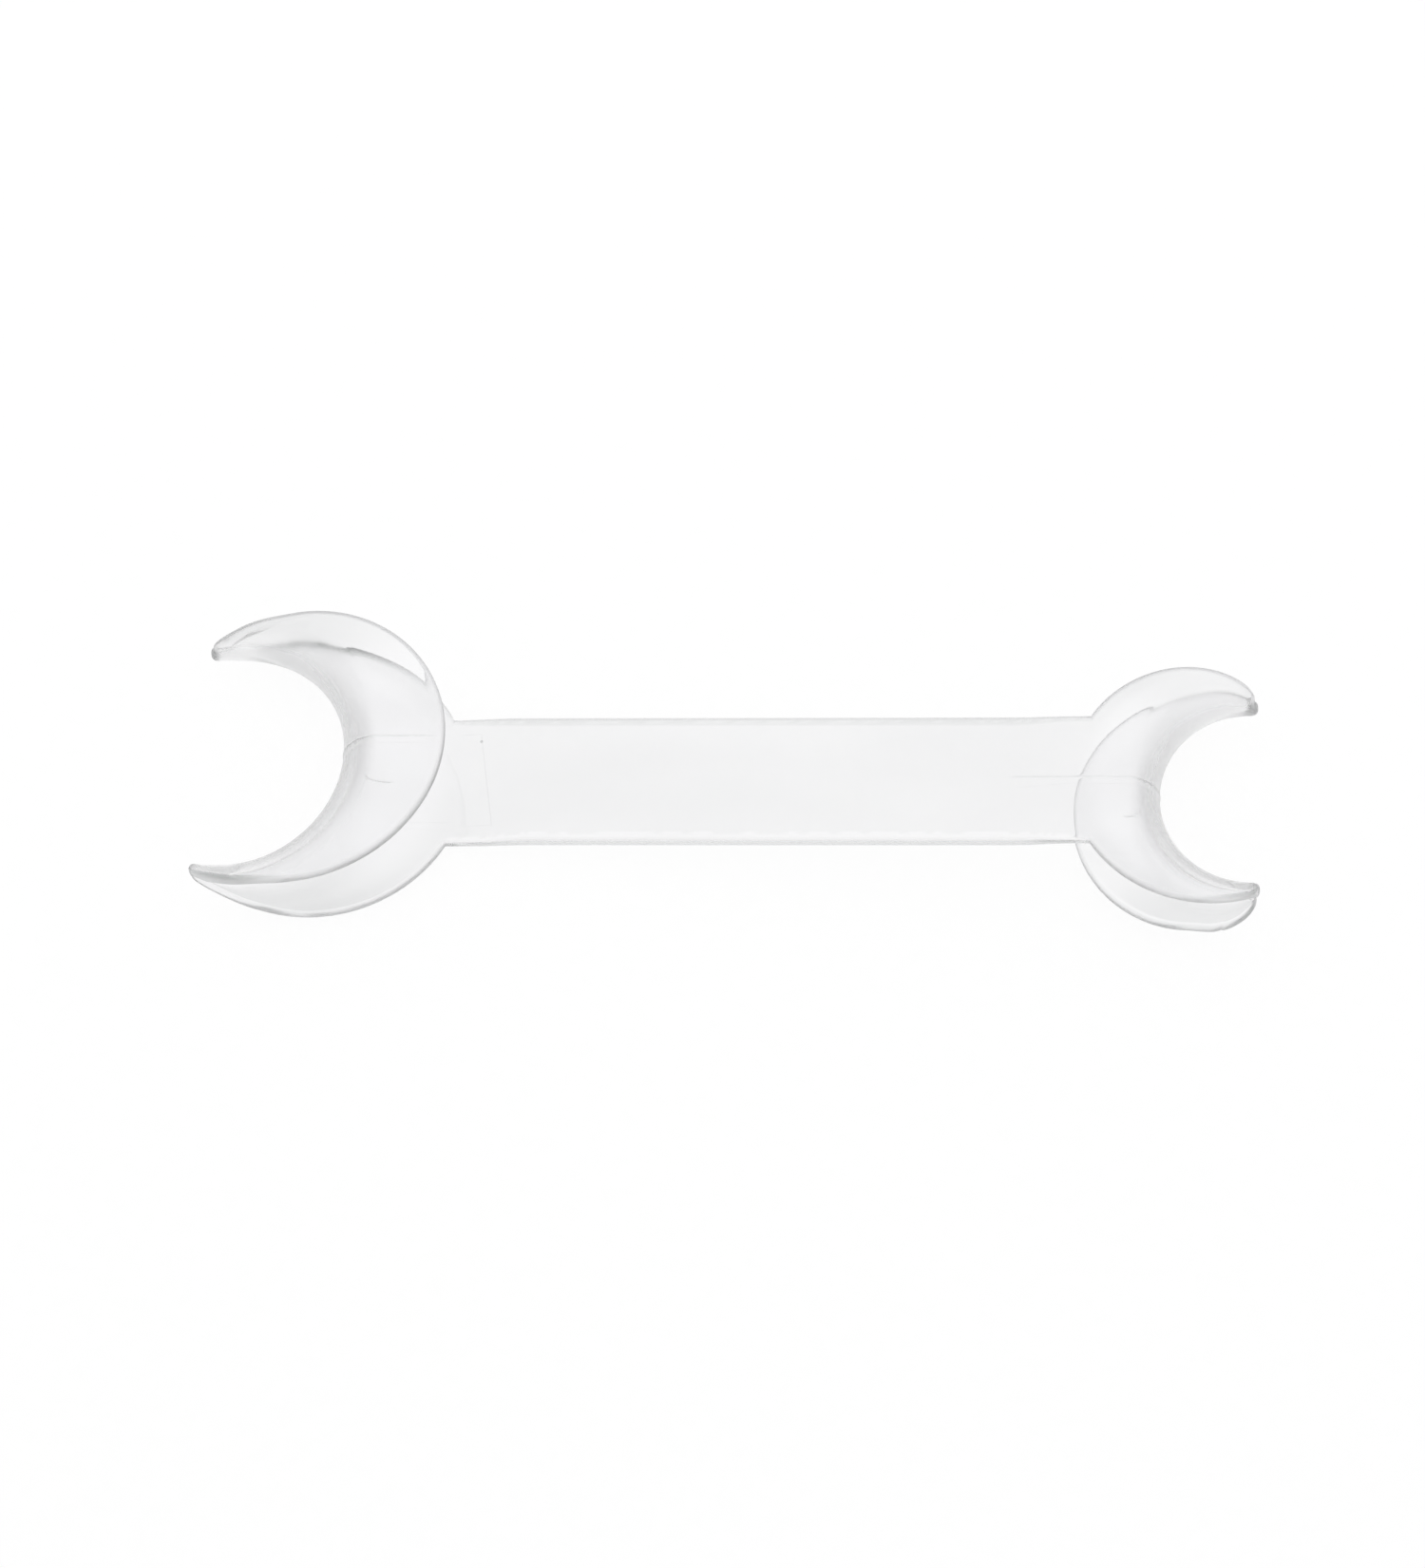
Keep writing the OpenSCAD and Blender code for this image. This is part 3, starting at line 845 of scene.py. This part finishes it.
# %% Clear plastic
INDEX = 1.585
PASSING = (0.99, 0.99, 0.99, 1.0)
BODY, BODY_DENSITY = (0.0, 0.08, 0.05, 1.0), 3.0


def new_material(name):
    """Empty node material with its output."""
    material = bpy.data.materials.new(name)
    material.use_nodes = True
    tree = material.node_tree
    tree.nodes.clear()
    return material, tree, tree.nodes.new("ShaderNodeOutputMaterial")


def clear_plastic():
    """Principled plastic that light passes through, with a trace of colour in its body. Shadow and
    diffuse rays pass nearly whole, so that the paper under the plastic stays lit."""
    material, tree, output = new_material("clear_plastic")
    link = tree.links.new
    plastic = add(tree, "ShaderNodeBsdfPrincipled", IOR=INDEX)
    plastic.inputs["Transmission Weight"].default_value = 1.0
    for value, socket in zip(surface(tree), ("Base Color", "Roughness", "Normal")):
        link(value, plastic.inputs[socket])
    passing = add(tree, "ShaderNodeBsdfTransparent", Color=PASSING)
    rays = add(tree, "ShaderNodeLightPath").outputs
    mix = add(tree, "ShaderNodeMixShader")
    link(calc(tree, "MAXIMUM", rays["Is Shadow Ray"], rays["Is Diffuse Ray"]), mix.inputs["Fac"])
    link(plastic.outputs["BSDF"], mix.inputs[1])
    link(passing.outputs["BSDF"], mix.inputs[2])
    link(mix.outputs["Shader"], output.inputs["Surface"])
    body = add(tree, "ShaderNodeVolumeAbsorption", Color=BODY, Density=BODY_DENSITY)
    link(body.outputs["Volume"], output.inputs["Volume"])
    return material


moulding.data.materials.append(clear_plastic())
print("materials:", [m.name for m in moulding.data.materials])

# %% [markdown]
# The tool lies on white paper. Clear plastic shows its surroundings, so they matter more than any
# colour: the white floor shows through the walls, and a greyer room above it makes the rims grey. With
# white all round, the tool would vanish. The floor could be a plain white surface, but here it is paper
# that keeps the tool's shadow, lifted a little for the camera and for rays that pass through or mirror
# in the plastic.

# %% Floor
FLOOR_SIZE, FLOOR_Z = 6.0, -0.0002
PAPER, PAPER_LIGHT, LIFT = (0.9, 0.9, 0.9, 1.0), (0.92, 0.92, 0.92, 1.0), 0.16
FIBRE_SCALE, FIBRE_DETAIL = 400.0, 4.0


def paper_floor():
    """Diffuse white paper plus a small glow that only camera, glossy and transmission rays see."""
    material, tree, output = new_material("white_paper")
    link = tree.links.new
    rays = add(tree, "ShaderNodeLightPath").outputs
    seen = calc(tree, "ADD", rays["Is Camera Ray"], rays["Is Glossy Ray"])
    shown = calc(tree, "MAXIMUM", seen, rays["Is Transmission Ray"])
    where = add(tree, "ShaderNodeTexCoord").outputs["Object"]
    tone = add(tree, "ShaderNodeMixRGB", Color1=PAPER, Color2=PAPER_LIGHT)
    link(noise(tree, where, Scale=FIBRE_SCALE, Detail=FIBRE_DETAIL), tone.inputs["Fac"])
    paper = add(tree, "ShaderNodeBsdfDiffuse")
    link(tone.outputs["Color"], paper.inputs["Color"])
    glow = add(tree, "ShaderNodeEmission")
    link(calc(tree, "MULTIPLY", shown, LIFT), glow.inputs["Strength"])
    both = add(tree, "ShaderNodeAddShader")
    link(paper.outputs["BSDF"], both.inputs[0])
    link(glow.outputs["Emission"], both.inputs[1])
    link(both.outputs["Shader"], output.inputs["Surface"])
    return material


floor_mesh = bpy.data.meshes.new("paper_floor")
side = FLOOR_SIZE / 2
corners = [(x, y, FLOOR_Z) for x, y in ((-side, -side), (side, -side), (side, side), (-side, side))]
floor_mesh.from_pydata(corners, [], [(0, 1, 2, 3)])
floor = bpy.data.objects.new("paper_floor", floor_mesh)
floor.data.materials.append(paper_floor())
bpy.context.collection.objects.link(floor)
print("floor side in m:", FLOOR_SIZE)

# %% [markdown]
# The light is an even, bright room and one weak softbox over the table. A single strong lamp could light
# the tool as well, but in clear plastic it would draw hard white lines, and here they are soft and pale.
# Light that runs along inside a wall is mirrored many times before it leaves. Each of those turns counts
# as a glossy bounce, so the limits on bounces are raised, or the edges would be black.

# %% Soft light
SOFTBOX = SimpleNamespace(place=(0.0, 0.5, 1.75), size=3.4, watts=12.0)
ROOM = 0.76
BOUNCES = 48

lamp_data = bpy.data.lights.new("top_softbox", "AREA")
lamp_data.size, lamp_data.energy = SOFTBOX.size, SOFTBOX.watts
lamp = bpy.data.objects.new("top_softbox", lamp_data)
lamp.location = SOFTBOX.place
# the lamp's face points at the middle of the floor
lamp.rotation_euler = (-Vector(SOFTBOX.place)).to_track_quat("-Z", "Y").to_euler()
bpy.context.collection.objects.link(lamp)
world = bpy.data.worlds.new("grey_room")
world.use_nodes = True
world.node_tree.nodes["Background"].inputs["Color"].default_value = (ROOM, ROOM, ROOM, 1.0)
bpy.context.scene.world = world
bpy.context.scene.view_settings.view_transform = "Standard"
cycles = bpy.context.scene.cycles
cycles.max_bounces = cycles.transmission_bounces = cycles.glossy_bounces = BOUNCES
print("softbox:", SOFTBOX.watts, "watts, room level:", ROOM)
